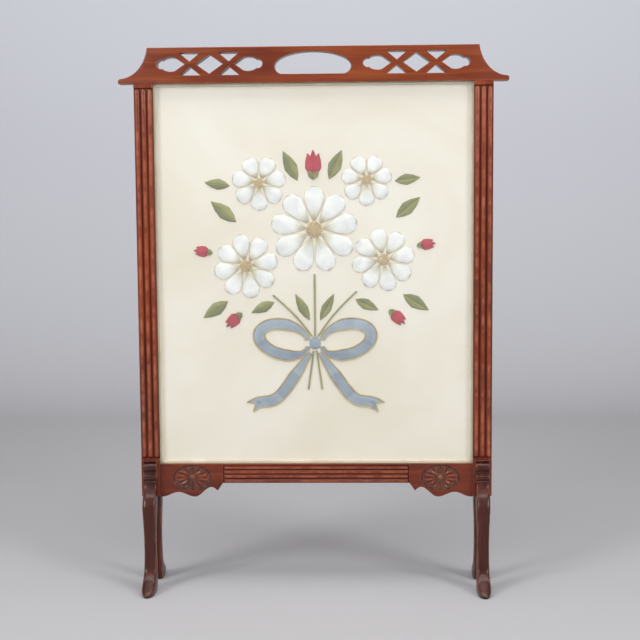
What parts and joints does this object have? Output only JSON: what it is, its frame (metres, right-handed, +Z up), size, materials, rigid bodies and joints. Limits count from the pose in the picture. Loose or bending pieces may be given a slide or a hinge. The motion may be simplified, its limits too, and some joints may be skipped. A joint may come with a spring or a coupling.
{
  "type": "fire screen",
  "caption": "Upright mahogany fire screen on slender legs, with a pierced crest rail, reeded stiles and a glazed panel of raised needlework on cream silk.",
  "frame": {"origin": "on the floor under the middle of the screen", "axes": "+X to the right seen from the front, +Y from front to back, +Z up"},
  "size_m": [0.66, 0.169, 0.932],
  "materials": {
    "mahogany": "french polished",
    "beech": "bare",
    "glass": "clear",
    "slip": "silk covered",
    "silk": "satin",
    "deal": "bare",
    "steel": "blued",
    "back_board": "stained",
    "brass": "aged",
    "white_floss": "satin stitch",
    "gold_thread": "couched",
    "olive_floss": "satin stitch",
    "crimson_floss": "satin stitch",
    "ribbon_silk": "laid work"
  },
  "bodies": {
    "root": {"crest_rail": "mahogany", "left_stile": "mahogany", "right_stile": "mahogany", "bottom_rail": "mahogany", "front_leg_left": "mahogany", "front_leg_right": "mahogany", "back_leg_left": "mahogany", "back_leg_right": "mahogany", "leg_dowels": "beech", "glass_pane": "glass", "slip_top": "slip", "slip_bottom": "slip", "slip_left": "slip", "slip_right": "slip", "silk_ground": "silk", "strainer_top": "deal", "strainer_bottom": "deal", "strainer_left": "deal", "strainer_right": "deal", "strainer_keys": "deal", "silk_tacks": "steel", "back_board": "back_board", "back_bead_top": "mahogany", "back_bead_bottom": "mahogany", "back_bead_left": "mahogany", "back_bead_right": "mahogany", "bead_pins": "brass", "flower_petals": "white_floss", "flower_centres": "gold_thread", "worked_leaves": "olive_floss", "worked_stems": "olive_floss", "rose_buds": "crimson_floss", "ribbon_bow": "ribbon_silk", "ribbon_edging": "gold_thread"}
  },
  "joints": []
}
